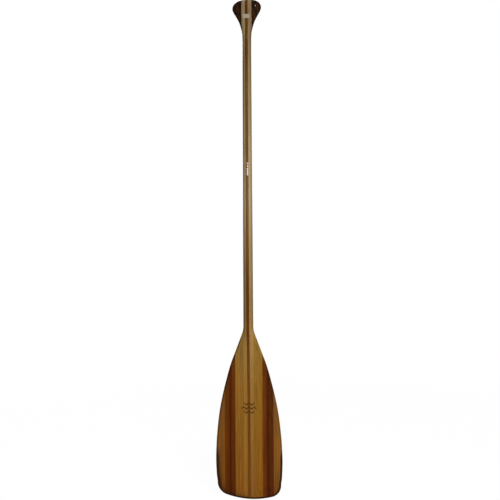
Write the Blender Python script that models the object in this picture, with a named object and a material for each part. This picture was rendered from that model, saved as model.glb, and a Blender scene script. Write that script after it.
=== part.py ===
"""A canoe paddle laminated from strips of wood, standing upright with its blade down.

A thin dark strip with a light stave on each side runs the whole length, from the palm grip to
the tip. Two dark blocks widen the grip, four more strips on each side widen the blade, and a
cast resin strip edges the blade's lower end. All the pieces are glued edge to edge and then
carved as one, so every piece is the same carved form between its own two glue joints.

Heights are measured up from the tip, half widths out from the centreline along X, and half
depths front and back along Y. The model's origin is at the hanging height under the grip.
"""
import math

import bmesh
import bpy

# Overall sizes, in metres
PADDLE_LENGTH = 1.524
HANG_HEIGHT = 1.400
GLUE_GAP = 0.0003

# Glue joints on each side, outwards, as distances from the centreline. The strips were glued up
# a little to the right of the middle of the form that was carved from them
JOINTS = {
    "left": (0.0029, 0.0153, 0.0410, 0.0573, 0.0741),
    "right": (0.0055, 0.0173, 0.0436, 0.0599, 0.0767),
}

# The joints between the staves and the grip's blocks, where the staves were planed narrower
GRIP_JOINTS = {"left": 0.0136, "right": 0.0170}

# The blade's strips outwards from the stave, each between two of the joints, and their woods
BLADE_STRIPS = [
    ("light_strip", "golden_wood"),
    ("inner_red_strip", "red_wood"),
    ("outer_red_strip", "red_wood"),
    ("edge_strip", "brown_wood"),
]
SIDES = {"left": -1, "right": 1}

# The blade's lower end: a shallow arc across the tip and a round corner on each side
TIP_RADIUS = 0.2493
CORNER_RADIUS = 0.0383
CORNER_X = 0.0604
CORNER_Z = TIP_RADIUS - math.sqrt((TIP_RADIUS - CORNER_RADIUS) ** 2 - CORNER_X ** 2)
BLADE_EDGE_AT_CORNER = CORNER_X + CORNER_RADIUS

# The resin edge: its width, where its two ends stop, and how far they taper
RESIN_WIDTH = 0.0060
RESIN_TOP = 0.160
RESIN_TAPER = 0.030
REBATE_LEAD = 0.005

# The blade's depth: flat faces, thinner towards the edge, which is rounded over
FLAT_TOP = 0.300
TAPER_BAND = 0.038
RIDGE_FILLET = 0.004
FILLET_RUN = 0.060

# The carved form, as (height, size) points that smooth curves pass through
THROAT_HEIGHT = 0.527
THROAT_HALF_WIDTH = 0.0151
SHAFT_DEPTH_RATIO = 1.06
HALF_WIDTH_POINTS = [
    (CORNER_Z, BLADE_EDGE_AT_CORNER), (0.070, 0.1015), (0.118, 0.1034), (0.166, 0.1018),
    (0.215, 0.0978), (0.264, 0.0916), (0.313, 0.0820), (0.362, 0.0698), (0.411, 0.0556),
    (0.450, 0.0406), (0.485, 0.0272), (0.505, 0.0195), (0.516, 0.0162),
    (THROAT_HEIGHT, THROAT_HALF_WIDTH), (0.700, 0.0147), (0.850, 0.0144), (1.000, 0.0139),
    (1.200, 0.0136), (1.395, 0.0133), (1.420, 0.0142), (1.440, 0.0184), (1.456, 0.0238),
    (1.474, 0.0333), (1.488, 0.0415),
    (1.498, 0.0446),
]
GRIP_HALF_DEPTH_POINTS = [
    (1.340, 0.0141), (1.395, 0.0137), (1.430, 0.0123), (1.460, 0.0116), (1.490, 0.0128),
    (1.506, 0.0132),
]
RIDGE_HEIGHT_POINTS = [
    (FLAT_TOP, 0.0), (0.330, 0.0042), (0.370, 0.0066), (0.420, 0.0088), (0.470, 0.0119),
    (THROAT_HEIGHT, THROAT_HALF_WIDTH * SHAFT_DEPTH_RATIO),
]
RIDGE_HALF_WIDTH_POINTS = [
    (FLAT_TOP, 0.0180), (0.360, 0.0230), (0.440, 0.0235), (0.480, 0.0205), (0.510, 0.0165),
    (THROAT_HEIGHT, THROAT_HALF_WIDTH),
]
FACE_HALF_DEPTH_POINTS = [
    (FLAT_TOP, 0.0042), (0.350, 0.0045), (0.400, 0.0053), (0.450, 0.0072), (0.485, 0.0097),
    (0.510, 0.0130), (THROAT_HEIGHT, THROAT_HALF_WIDTH * SHAFT_DEPTH_RATIO),
]
EDGE_HALF_DEPTH_POINTS = [
    (0.0, 0.0022), (FLAT_TOP, 0.0024), (0.380, 0.0030), (0.440, 0.0045), (0.480, 0.0072),
    (0.508, 0.0116), (THROAT_HEIGHT, THROAT_HALF_WIDTH * SHAFT_DEPTH_RATIO),
]
EDGE_RADIUS_POINTS = [
    (0.0, 0.0060), (0.400, 0.0060), (0.460, 0.0070), (0.500, 0.0105),
    (THROAT_HEIGHT, THROAT_HALF_WIDTH),
]

# The grip's crown: the top of the grip from its widest height up, and its roundness
GRIP_WIDEST = 1.498
GRIP_SHOULDER = 1.506
CROWN_POWER = 2.25
GRIP_POWER = 2.6
GRIP_BLEND = (1.360, 1.440)

# The two labels, as leftmost and rightmost place, lowest and highest height
LABEL_THICKNESS = 0.0003
GRIP_LABEL = (-0.0108, 0.0120, 1.4648, 1.4772)
SHAFT_DECAL = (0.0006, 0.0054, 0.985, 1.027)

# Colour, roughness of each material
FINISHES = {
    "dark_wood": ((0.090, 0.038, 0.008), 0.35),
    "light_wood": ((0.390, 0.240, 0.110), 0.35),
    "golden_wood": ((0.300, 0.140, 0.025), 0.35),
    "red_wood": ((0.120, 0.030, 0.006), 0.35),
    "brown_wood": ((0.230, 0.090, 0.020), 0.35),
    "grip_wood": ((0.030, 0.012, 0.004), 0.35),
    "edge_resin": ((0.015, 0.007, 0.003), 0.25),
    "grip_label_film": ((0.420, 0.350, 0.270), 0.40),
    "shaft_decal_film": ((0.800, 0.700, 0.700), 0.40),
}


def smooth_curve(points):
    """A monotone cubic through (height, size) points, level at and beyond both ends."""
    heights = [p[0] for p in points]
    sizes = [p[1] for p in points]
    steps = [b - a for a, b in zip(heights, heights[1:])]
    slopes = [(b - a) / h for a, b, h in zip(sizes, sizes[1:], steps)]
    tangents = [0.0]
    for before, after in zip(slopes, slopes[1:]):
        turning = before * after <= 0
        tangents.append(0.0 if turning else 2 * before * after / (before + after))
    tangents.append(0.0)

    def value(height):
        if height <= heights[0]:
            return sizes[0]
        if height >= heights[-1]:
            return sizes[-1]
        i = max(k for k, start in enumerate(heights) if start <= height)
        i = min(i, len(steps) - 1)
        t = (height - heights[i]) / steps[i]
        rise = steps[i] * (tangents[i] * t * (1 - t) ** 2 - tangents[i + 1] * t * t * (1 - t))
        return sizes[i] + (sizes[i + 1] - sizes[i]) * t * t * (3 - 2 * t) + rise

    return value


outline = smooth_curve(HALF_WIDTH_POINTS)
grip_half_depth = smooth_curve(GRIP_HALF_DEPTH_POINTS)
ridge_height = smooth_curve(RIDGE_HEIGHT_POINTS)
ridge_half_width = smooth_curve(RIDGE_HALF_WIDTH_POINTS)
face_half_depth = smooth_curve(FACE_HALF_DEPTH_POINTS)
edge_half_depth = smooth_curve(EDGE_HALF_DEPTH_POINTS)
edge_radius = smooth_curve(EDGE_RADIUS_POINTS)


def ease(t):
    """A smooth step from 0 to 1."""
    t = min(max(t, 0.0), 1.0)
    return t * t * (3 - 2 * t)


def round_over(t, power=2.0):
    """The height of a rounded shoulder, from 0 at its foot (t = 0) to 1 at its top (t = 1)."""
    t = min(max(t, 0.0), 1.0)
    return (1 - (1 - t) ** power) ** (1 / power)


def root_of(square):
    return math.sqrt(max(square, 0.0))


# The outline, and the same outline moved in from the edge

def half_width(z, inset=0.0):
    """Half the paddle's width at a height, less an inset from the edge."""
    if z > GRIP_WIDEST:
        rise = (PADDLE_LENGTH - z) / (PADDLE_LENGTH - GRIP_WIDEST)
        return outline(GRIP_WIDEST) * round_over(rise, CROWN_POWER)
    if z >= CORNER_Z:
        return outline(z) - inset
    across = root_of((CORNER_RADIUS - inset) ** 2 - (CORNER_Z - z) ** 2)
    if CORNER_X + across >= joining_x(inset):
        return CORNER_X + across
    return root_of((TIP_RADIUS - inset) ** 2 - (TIP_RADIUS - z) ** 2)


def joining_x(inset):
    """Where the corner arc meets the tip arc."""
    return CORNER_X * (TIP_RADIUS - inset) / (TIP_RADIUS - CORNER_RADIUS)


def tip_height(x, inset):
    """The height of the blade's lower edge at a distance from the centreline."""
    if x <= joining_x(inset):
        return TIP_RADIUS - root_of((TIP_RADIUS - inset) ** 2 - x * x)
    return CORNER_Z - root_of((CORNER_RADIUS - inset) ** 2 - (x - CORNER_X) ** 2)


def crown_height(x):
    """The height of the grip's top edge at a distance from the centreline."""
    across = 1 - round_over(1 - x / outline(GRIP_WIDEST), CROWN_POWER)
    return PADDLE_LENGTH - across * (PADDLE_LENGTH - GRIP_WIDEST)


def outline_slope(z):
    """How fast the half width grows with height."""
    step = 0.001
    return (outline(z + step) - outline(z - step)) / (2 * step)


def edge_distance(x, z):
    """How far a point on the blade is from the blade's edge."""
    from_tip = TIP_RADIUS - math.hypot(x, max(TIP_RADIUS - z, 0.0))
    if z >= CORNER_Z:
        return min((outline(z) - x) / math.hypot(1, outline_slope(z)), from_tip)
    beyond_tip_arc = x * (TIP_RADIUS - CORNER_Z) > CORNER_X * (TIP_RADIUS - z)
    if x > CORNER_X and beyond_tip_arc:
        return CORNER_RADIUS - math.hypot(x - CORNER_X, z - CORNER_Z)
    return from_tip


# The depth of the carved form

def smooth_max(a, b, fillet):
    """The larger of two heights, with a fillet where they cross."""
    if fillet <= 0:
        return max(a, b)
    overlap = max(fillet - abs(a - b), 0.0) / fillet
    return max(a, b) + overlap * overlap * fillet / 4


def blade_half_depth(x, z):
    """The blade's flat faces and rounded edge, with the shaft's ridge fading into them."""
    inside = max(edge_distance(x, z), 0.0)
    level = edge_half_depth(z)
    level += (face_half_depth(z) - level) * ease(inside / TAPER_BAND)
    rounding = round_over(inside / edge_radius(z))
    face = level * rounding
    ridge = ridge_height(z) * root_of(1 - (x / ridge_half_width(z)) ** 2)
    fillet = RIDGE_FILLET * rounding * ease((THROAT_HEIGHT - z) / FILLET_RUN)
    return smooth_max(face, ridge, fillet)


def shaft_half_depth(x, z):
    """The shaft's oval section, which becomes the grip's flatter one."""
    low, high = GRIP_BLEND
    blend = ease((z - low) / (high - low))
    deepest = SHAFT_DEPTH_RATIO * outline(z) * (1 - blend) + grip_half_depth(z) * blend
    crown = (PADDLE_LENGTH - z) / (PADDLE_LENGTH - GRIP_SHOULDER)
    power = 2 + (GRIP_POWER - 2) * blend
    return deepest * round_over(crown) * round_over(1 - x / max(half_width(z), 1e-9), power)


def half_depth(x, z):
    return blade_half_depth(x, z) if z < THROAT_HEIGHT else shaft_half_depth(x, z)


# Rows of points along the pieces

TIP_ROWS = [0.0, 0.012, 0.026, 0.045, 0.080]
BLADE_ROWS = [0.118, 0.133, 0.145, 0.164, 0.215, 0.264, FLAT_TOP, 0.330, 0.350, 0.380, 0.410]
THROAT_ROWS = [0.440, 0.465, 0.485, 0.495, 0.505, 0.511, 0.516, 0.521, THROAT_HEIGHT]
SHAFT_ROWS = [0.560, 0.630, 0.700, 0.770, 0.850, 0.920, 1.000, 1.100, 1.200, 1.300, 1.360]
NECK_ROWS = [1.395, 1.410, 1.420, 1.430]
GRIP_ROWS = [1.440, 1.448, 1.456, 1.465, 1.474, 1.482, 1.488, 1.493, GRIP_WIDEST]

# Extra rows, this far below the place where a glue joint runs out through the rounded edge
EDGE_DROPS = (0.007, 0.003)
ROW_SPACE = 0.003


def spaced(start, end, count):
    return [start + (end - start) * i / count for i in range(count + 1)]


def crowded(start, end, count):
    """Points from start to end, closer together at the end, where the form rounds over."""
    return [start + (end - start) * math.sin(math.pi / 2 * i / count) for i in range(count + 1)]


def rebate(z):
    """How far the wood stays back from the blade's edge to leave room for the resin."""
    run = (RESIN_TOP + REBATE_LEAD - z) / (RESIN_TAPER + REBATE_LEAD)
    return (RESIN_WIDTH + GLUE_GAP) * ease(run)


def fitted_height(x, z):
    """A row's height at x, squeezed near both ends so that the rows end on the outline."""
    low = TIP_ROWS[-1]
    if z < low:
        start = tip_height(x, rebate(z))
        return start + (low - start) * z / low
    if z > GRIP_WIDEST:
        end = crown_height(x)
        return GRIP_WIDEST + (end - GRIP_WIDEST) * (z - GRIP_WIDEST) / (PADDLE_LENGTH - GRIP_WIDEST)
    return z


def height_of_width(width, low, high):
    """The height, between two others, at which the outline passes a given half width."""
    widens = half_width(high) > half_width(low)
    for _ in range(40):
        middle = (low + high) / 2
        if (half_width(middle) < width) == widens:
            low = middle
        else:
            high = middle
    return (low + high) / 2


def full_length_rows(inner, outer, grip_outer, columns):
    """Rows from the tip to the grip's crown. The core spans both sides of the centreline."""
    heights = TIP_ROWS + BLADE_ROWS + THROAT_ROWS + SHAFT_ROWS + NECK_ROWS + GRIP_ROWS
    heights += crowded(GRIP_SHOULDER, PADDLE_LENGTH, 6)
    rows = []
    for z in heights:
        fitted = z < TIP_ROWS[-1] or z > GRIP_WIDEST
        joint = outer if z < NECK_ROWS[0] else grip_outer
        edge = joint if fitted else min(joint, half_width(z))
        xs = crowded(inner, edge, columns) if inner > 0 else spaced(inner, edge, columns)
        rows.append([(x, fitted_height(abs(x), z)) for x in xs])
    return rows


def blade_strip_rows(inner, outer):
    """Rows from the resin edge up to the point where the blade's outline cuts the strip off."""
    point = height_of_width(inner, BLADE_ROWS[0], THROAT_HEIGHT)
    if outer == math.inf:
        start = tip_height(inner, rebate(0.0))
        lower = [start + TIP_ROWS[-1] - z for z in reversed(crowded(start, TIP_ROWS[-1], 9))]
        full = FLAT_TOP
    else:
        lower = TIP_ROWS
        full = height_of_width(outer, BLADE_ROWS[0], THROAT_HEIGHT)
    cut_off = [full - drop for drop in EDGE_DROPS] + crowded(full, point, 5)
    heights = lower + [z for z in BLADE_ROWS if z < cut_off[0] - ROW_SPACE] + cut_off
    rows = []
    for z in heights:
        if outer < math.inf and z < TIP_ROWS[-1]:
            rows.append([(x, fitted_height(x, z)) for x in crowded(inner, outer, 4)])
        else:
            edge = min(outer, half_width(z, rebate(z)))
            rows.append([(x, z) for x in crowded(inner, edge, 4)])
    return rows


def grip_block_rows(inner):
    """Rows from the point where the grip starts to flare up to its crown."""
    neck = height_of_width(inner, NECK_ROWS[0], GRIP_WIDEST)
    heights = crowded(GRIP_ROWS[0], neck, 4)[:0:-1] + GRIP_ROWS[:-1]
    heights += crowded(GRIP_WIDEST, crown_height(inner), 9)
    return [[(x, z) for x in crowded(inner, half_width(z), 6)] for z in heights]


def resin_edge_rows():
    """Rows across the resin, all the way round the blade's lower end from left to right."""
    stations = []
    for z in spaced(RESIN_TOP, CORNER_Z, 9):
        length = math.hypot(1, outline_slope(z))
        width = RESIN_WIDTH * ease((RESIN_TOP - z) / RESIN_TAPER)
        stations.append((outline(z), z, -1 / length, outline_slope(z) / length, width))
    corner_end = math.acos(CORNER_X / (TIP_RADIUS - CORNER_RADIUS))
    for angle in spaced(0.0, corner_end, 10)[1:]:
        across, up = math.cos(angle), -math.sin(angle)
        x, z = CORNER_X + CORNER_RADIUS * across, CORNER_Z + CORNER_RADIUS * up
        stations.append((x, z, -across, -up, RESIN_WIDTH))
    for angle in spaced(math.pi / 2 - corner_end, 0.0, 7)[1:]:
        across, up = math.sin(angle), -math.cos(angle)
        x, z = TIP_RADIUS * across, TIP_RADIUS * (1 + up)
        stations.append((x, z, -across, -up, RESIN_WIDTH))
    right = [[(x + nx * d, z + nz * d) for d in crowded(width, 0.0, 5)]
             for x, z, nx, nz, width in stations]
    left = [[(-x, z) for x, z in row] for row in right[:-1]]
    return left + right[::-1]


# Building the pieces

def make_material(name):
    colour, roughness = FINISHES[name]
    material = bpy.data.materials.new(name)
    material.use_nodes = True
    shader = material.node_tree.nodes["Principled BSDF"]
    shader.inputs["Base Color"].default_value = (*colour, 1.0)
    shader.inputs["Roughness"].default_value = roughness
    shader.inputs["Metallic"].default_value = 0.0
    material.diffuse_color = (*colour, 1.0)
    return material


def skin(name, front, back):
    """A closed mesh around two grids of points, welded where the grids meet at an edge."""
    mesh = bmesh.new()
    near = [[mesh.verts.new(point) for point in row] for row in front]
    far = [[mesh.verts.new(point) for point in row] for row in back]
    last_row = len(near) - 1
    last_column = len(near[0]) - 1
    for r in range(last_row):
        for c in range(last_column):
            mesh.faces.new((near[r][c], near[r][c + 1], near[r + 1][c + 1], near[r + 1][c]))
            mesh.faces.new((far[r][c], far[r + 1][c], far[r + 1][c + 1], far[r][c + 1]))
        for c in (0, last_column):
            mesh.faces.new((near[r][c], near[r + 1][c], far[r + 1][c], far[r][c]))
    for r in (0, last_row):
        for c in range(last_column):
            mesh.faces.new((near[r][c], near[r][c + 1], far[r][c + 1], far[r][c]))
    bmesh.ops.remove_doubles(mesh, verts=mesh.verts, dist=0.00002)
    bmesh.ops.recalc_face_normals(mesh, faces=mesh.faces)
    data = bpy.data.meshes.new(name)
    mesh.to_mesh(data)
    mesh.free()
    data.shade_smooth()
    data.set_sharp_from_angle(angle=math.radians(40))
    return data


class Bench:
    """Where the pieces are made: their collection, their shared parent and their materials."""

    def __init__(self):
        for old in list(bpy.data.objects):
            bpy.data.objects.remove(old)
        self.collection = bpy.data.collections.new("canoe_paddle")
        bpy.context.scene.collection.children.link(self.collection)
        self.tip = bpy.data.objects.new("blade_tip", None)
        self.tip.location = (0.0, 0.0, -HANG_HEIGHT)
        self.collection.objects.link(self.tip)
        self.materials = {name: make_material(name) for name in FINISHES}

    def add(self, name, data, material):
        data.materials.append(self.materials[material])
        piece = bpy.data.objects.new(name, data)
        piece.parent = self.tip
        self.collection.objects.link(piece)

    def carve(self, name, side, rows, material):
        """Add a piece of the carved form, from rows of (x, height) points on one side."""
        front = [[(side * x, -half_depth(abs(x), z), z) for x, z in row] for row in rows]
        back = [[(side * x, half_depth(abs(x), z), z) for x, z in row] for row in rows]
        self.add(name, skin(name, front, back), material)

    def film(self, name, size, columns, rows, material):
        """Add a thin film that follows the front of the paddle, just clear of it."""
        left, right, low, high = size
        xs = spaced(left, right, columns)
        heights = spaced(low, high, rows)
        outside = GLUE_GAP + LABEL_THICKNESS
        front = [[(x, -half_depth(abs(x), z) - outside, z) for x in xs] for z in heights]
        back = [[(x, -half_depth(abs(x), z) - GLUE_GAP, z) for x in xs] for z in heights]
        self.add(name, skin(name, front, back), material)


def main():
    bench = Bench()
    clear = GLUE_GAP / 2
    core_left, core_right = clear - JOINTS["left"][0], JOINTS["right"][0] - clear
    core = full_length_rows(core_left, core_right, core_right, 4)
    bench.carve("core_strip", 1, core, "dark_wood")
    bench.carve("resin_edge", 1, resin_edge_rows(), "edge_resin")
    for label, side in SIDES.items():
        core_edge, stave_edge = JOINTS[label][:2]
        grip_joint = GRIP_JOINTS[label]
        stave = full_length_rows(core_edge + clear, stave_edge - clear, grip_joint - clear, 5)
        bench.carve(f"shaft_stave_{label}", side, stave, "light_wood")
        bench.carve(f"grip_block_{label}", side, grip_block_rows(grip_joint + clear), "grip_wood")
        edges = [*JOINTS[label][1:], math.inf]
        for (name, material), inner, outer in zip(BLADE_STRIPS, edges, edges[1:]):
            strip = blade_strip_rows(inner + clear, outer - clear)
            bench.carve(f"{name}_{label}", side, strip, material)
    bench.film("grip_label", GRIP_LABEL, 6, 3, "grip_label_film")
    bench.film("shaft_decal", SHAFT_DECAL, 4, 3, "shaft_decal_film")


main()
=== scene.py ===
"""The looks of a laminated canoe paddle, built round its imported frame.

Every strip of wood is carved from the same form as its CAD node, at a fine resolution and glued
tight to its neighbours, and gets its own procedural wood under a satin varnish. Sizes are in
metres. Heights are measured up from the blade's tip and half widths out from the centreline.
"""
import math

import bmesh
import bpy
import numpy as np
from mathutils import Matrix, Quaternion, Vector


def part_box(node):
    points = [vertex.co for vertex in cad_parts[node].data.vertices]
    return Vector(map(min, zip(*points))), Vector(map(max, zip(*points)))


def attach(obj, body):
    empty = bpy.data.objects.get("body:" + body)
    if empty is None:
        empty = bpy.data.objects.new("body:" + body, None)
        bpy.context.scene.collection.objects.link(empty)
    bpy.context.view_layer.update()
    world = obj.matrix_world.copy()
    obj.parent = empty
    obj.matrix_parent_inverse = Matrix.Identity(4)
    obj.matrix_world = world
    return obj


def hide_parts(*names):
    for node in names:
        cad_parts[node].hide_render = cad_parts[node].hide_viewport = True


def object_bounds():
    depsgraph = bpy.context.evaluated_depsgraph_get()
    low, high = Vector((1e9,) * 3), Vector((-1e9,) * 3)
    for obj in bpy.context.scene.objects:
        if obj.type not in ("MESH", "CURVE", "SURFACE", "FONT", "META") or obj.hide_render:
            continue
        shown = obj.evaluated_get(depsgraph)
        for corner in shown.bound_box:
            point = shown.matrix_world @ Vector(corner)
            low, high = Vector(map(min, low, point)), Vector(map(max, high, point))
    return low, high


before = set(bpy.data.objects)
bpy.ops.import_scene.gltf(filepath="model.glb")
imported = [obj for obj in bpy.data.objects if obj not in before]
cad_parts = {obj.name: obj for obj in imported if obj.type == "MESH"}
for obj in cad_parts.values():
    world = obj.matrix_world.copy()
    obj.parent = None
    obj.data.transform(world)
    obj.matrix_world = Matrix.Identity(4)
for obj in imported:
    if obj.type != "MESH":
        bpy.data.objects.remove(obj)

CAD_LOW, CAD_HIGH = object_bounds()
TIP_Z = CAD_LOW.z
PADDLE_LENGTH = CAD_HIGH.z - CAD_LOW.z

# Glue joints on each side, outwards, as distances from the centreline. The strips were glued up
# a little to the right of the middle of the form that was carved from them
JOINTS = {
    "left": (0.0029, 0.0153, 0.0410, 0.0573, 0.0741),
    "right": (0.0055, 0.0173, 0.0436, 0.0599, 0.0767),
}

# The joints between the staves and the grip's blocks, where the staves were planed narrower
GRIP_JOINTS = {"left": 0.0136, "right": 0.0170}

# The sign of x on each side
SIDES = {"left": -1, "right": 1}

# The blade's lower end: a shallow arc across the tip and a round corner on each side
TIP_RADIUS = 0.2493
CORNER_RADIUS = 0.0383
CORNER_X = 0.0604
CORNER_Z = TIP_RADIUS - math.sqrt((TIP_RADIUS - CORNER_RADIUS) ** 2 - CORNER_X ** 2)
BLADE_EDGE_AT_CORNER = CORNER_X + CORNER_RADIUS

# The resin edge, which laps the wood by a hair so that no light passes between them
RESIN_WIDTH = 0.0060
RESIN_TOP = 0.160
RESIN_TAPER = 0.030
RESIN_LAP = 0.00015
RESIN_PROUD = 1.006

# The carved form: the heights, widths and radii that it turns on, and (height, size) points that
# smooth curves pass through
FLAT_TOP = 0.300
TAPER_BAND = 0.038
RIDGE_FILLET = 0.004
FILLET_RUN = 0.060
THROAT_HEIGHT = 0.527
THROAT_HALF_WIDTH = 0.0151
BLADE_WIDEST = 0.118
SHAFT_NARROWEST = 1.395
SHAFT_DEPTH_RATIO = 1.06
GRIP_WIDEST = 1.498
GRIP_SHOULDER = 1.506
CROWN_POWER = 2.25
GRIP_POWER = 2.6
GRIP_BLEND = (1.360, 1.440)
HALF_WIDTH_POINTS = [
    (CORNER_Z, BLADE_EDGE_AT_CORNER), (0.070, 0.1015), (BLADE_WIDEST, 0.1034), (0.166, 0.1018),
    (0.215, 0.0978), (0.264, 0.0916), (0.313, 0.0820), (0.362, 0.0698), (0.411, 0.0556),
    (0.450, 0.0406), (0.485, 0.0272), (0.505, 0.0195), (0.516, 0.0162),
    (THROAT_HEIGHT, THROAT_HALF_WIDTH), (0.700, 0.0147), (0.850, 0.0144), (1.000, 0.0139),
    (1.200, 0.0136), (SHAFT_NARROWEST, 0.0133), (1.420, 0.0142), (1.440, 0.0184),
    (1.456, 0.0238), (1.474, 0.0333), (1.488, 0.0415), (GRIP_WIDEST, 0.0446),
]
GRIP_HALF_DEPTH_POINTS = [
    (1.340, 0.0141), (SHAFT_NARROWEST, 0.0137), (1.430, 0.0123), (1.460, 0.0116),
    (1.490, 0.0128), (GRIP_SHOULDER, 0.0132),
]
RIDGE_HEIGHT_POINTS = [
    (FLAT_TOP, 0.0), (0.330, 0.0042), (0.370, 0.0066), (0.420, 0.0088), (0.470, 0.0119),
    (THROAT_HEIGHT, THROAT_HALF_WIDTH * SHAFT_DEPTH_RATIO),
]
RIDGE_HALF_WIDTH_POINTS = [
    (FLAT_TOP, 0.0180), (0.360, 0.0230), (0.440, 0.0235), (0.480, 0.0205), (0.510, 0.0165),
    (THROAT_HEIGHT, THROAT_HALF_WIDTH),
]
FACE_HALF_DEPTH_POINTS = [
    (FLAT_TOP, 0.0042), (0.350, 0.0045), (0.400, 0.0053), (0.450, 0.0072), (0.485, 0.0097),
    (0.510, 0.0130), (THROAT_HEIGHT, THROAT_HALF_WIDTH * SHAFT_DEPTH_RATIO),
]
EDGE_HALF_DEPTH_POINTS = [
    (0.0, 0.0022), (FLAT_TOP, 0.0024), (0.380, 0.0030), (0.440, 0.0045), (0.480, 0.0072),
    (0.508, 0.0116), (THROAT_HEIGHT, THROAT_HALF_WIDTH * SHAFT_DEPTH_RATIO),
]
EDGE_RADIUS_POINTS = [
    (0.0, 0.0060), (0.400, 0.0060), (0.460, 0.0070), (0.500, 0.0105),
    (THROAT_HEIGHT, THROAT_HALF_WIDTH),
]

# How finely the pieces are made, in rows up the paddle and columns across it. Between the ends
# that are fitted to the tip and the crown, the rows are (from height, to height, rows)
FITTED_LOW = 0.080
FITTED_ROWS = 28
ROW_RUNS = [
    (FITTED_LOW, FLAT_TOP, 44), (FLAT_TOP, 0.440, 44), (0.440, THROAT_HEIGHT, 56),
    (THROAT_HEIGHT, GRIP_BLEND[0], 104), (GRIP_BLEND[0], 1.420, 18), (1.420, GRIP_WIDEST, 46),
]
RUN_OUT_ROWS = 26
NECK_RUN = 0.008
NECK_ROWS = 14
CROWN_ROWS = 26
BLOCK_CROWN_ROWS = 34
RESIN_SIDE_ROWS = 60
RESIN_CORNER_ROWS = 40
RESIN_TIP_ROWS = 36
CORE_COLUMNS = 14
RESIN_COLUMNS = 14
STAVE_COLUMNS = 18
LIGHT_COLUMNS = 24
RED_COLUMNS = 18
EDGE_COLUMNS = 26
BLOCK_COLUMNS = 26

# Less than anything that counts, and enough halvings to find a height more finely than that
NOTHING = 1e-9
HALVINGS = 40


# The form, for arrays of places

def smooth_curve(points):
    """A monotone cubic through (height, size) points, level at and beyond both ends."""
    heights, sizes = np.array(points, float).T
    steps = np.diff(heights)
    slopes = np.diff(sizes) / steps
    product = slopes[:-1] * slopes[1:]
    same_way = product > 0
    total = np.where(same_way, slopes[:-1] + slopes[1:], 1.0)
    tangents = np.zeros(len(heights))
    tangents[1:-1] = np.where(same_way, 2 * product / total, 0.0)

    def value(height):
        height = np.clip(height, heights[0], heights[-1])
        i = np.clip(np.searchsorted(heights, height, side="right") - 1, 0, len(steps) - 1)
        t = (height - heights[i]) / steps[i]
        rise = steps[i] * (tangents[i] * t * (1 - t) ** 2 - tangents[i + 1] * t * t * (1 - t))
        return sizes[i] + (sizes[i + 1] - sizes[i]) * t * t * (3 - 2 * t) + rise

    return value


outline = smooth_curve(HALF_WIDTH_POINTS)
grip_half_depth = smooth_curve(GRIP_HALF_DEPTH_POINTS)
ridge_height = smooth_curve(RIDGE_HEIGHT_POINTS)
ridge_half_width = smooth_curve(RIDGE_HALF_WIDTH_POINTS)
face_half_depth = smooth_curve(FACE_HALF_DEPTH_POINTS)
edge_half_depth = smooth_curve(EDGE_HALF_DEPTH_POINTS)
edge_radius = smooth_curve(EDGE_RADIUS_POINTS)


def ease(t):
    """A smooth step from 0 to 1."""
    t = np.clip(t, 0.0, 1.0)
    return t * t * (3 - 2 * t)


def round_over(t, power=2.0):
    """The height of a rounded shoulder, from 0 at its foot (t = 0) to 1 at its top (t = 1)."""
    t = np.clip(t, 0.0, 1.0)
    return (1 - (1 - t) ** power) ** (1 / power)


def root_of(square):
    """The square root, or 0 where there is none."""
    return np.sqrt(np.maximum(square, 0.0))


def joining_x(inset):
    """Where the corner arc meets the tip arc."""
    return CORNER_X * (TIP_RADIUS - inset) / (TIP_RADIUS - CORNER_RADIUS)


def half_width(z, inset=0.0):
    """Half the paddle's width at a height, less an inset from the edge."""
    rise = (PADDLE_LENGTH - z) / (PADDLE_LENGTH - GRIP_WIDEST)
    crown = outline(GRIP_WIDEST) * round_over(rise, CROWN_POWER)
    corner = CORNER_X + root_of((CORNER_RADIUS - inset) ** 2 - (CORNER_Z - z) ** 2)
    tip = root_of((TIP_RADIUS - inset) ** 2 - (TIP_RADIUS - z) ** 2)
    lower = np.where(corner >= joining_x(inset), corner, tip)
    return np.where(z > GRIP_WIDEST, crown, np.where(z >= CORNER_Z, outline(z) - inset, lower))


def tip_height(x, inset):
    """The height of the blade's lower edge at a distance from the centreline."""
    tip = TIP_RADIUS - root_of((TIP_RADIUS - inset) ** 2 - x * x)
    corner = CORNER_Z - root_of((CORNER_RADIUS - inset) ** 2 - (x - CORNER_X) ** 2)
    return np.where(x <= joining_x(inset), tip, corner)


def crown_height(x):
    """The height of the grip's top edge at a distance from the centreline."""
    across = 1 - round_over(1 - x / outline(GRIP_WIDEST), CROWN_POWER)
    return PADDLE_LENGTH - across * (PADDLE_LENGTH - GRIP_WIDEST)


def outline_slope(z):
    """How fast the half width grows with height."""
    step = 0.001
    return (outline(z + step) - outline(z - step)) / (2 * step)


def edge_distance(x, z):
    """How far a point on the blade is from the blade's edge."""
    from_tip = TIP_RADIUS - np.hypot(x, np.maximum(TIP_RADIUS - z, 0.0))
    from_side = (outline(z) - x) / np.hypot(1, outline_slope(z))
    from_corner = CORNER_RADIUS - np.hypot(x - CORNER_X, z - CORNER_Z)
    beyond_tip_arc = x * (TIP_RADIUS - CORNER_Z) > CORNER_X * (TIP_RADIUS - z)
    lower = np.where((x > CORNER_X) & beyond_tip_arc, from_corner, from_tip)
    return np.where(z >= CORNER_Z, np.minimum(from_side, from_tip), lower)


def smooth_max(a, b, fillet):
    """The larger of two heights, with a fillet where they cross."""
    overlap = np.maximum(fillet - np.abs(a - b), 0.0) / np.maximum(fillet, NOTHING)
    return np.maximum(a, b) + overlap * overlap * fillet / 4


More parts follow.
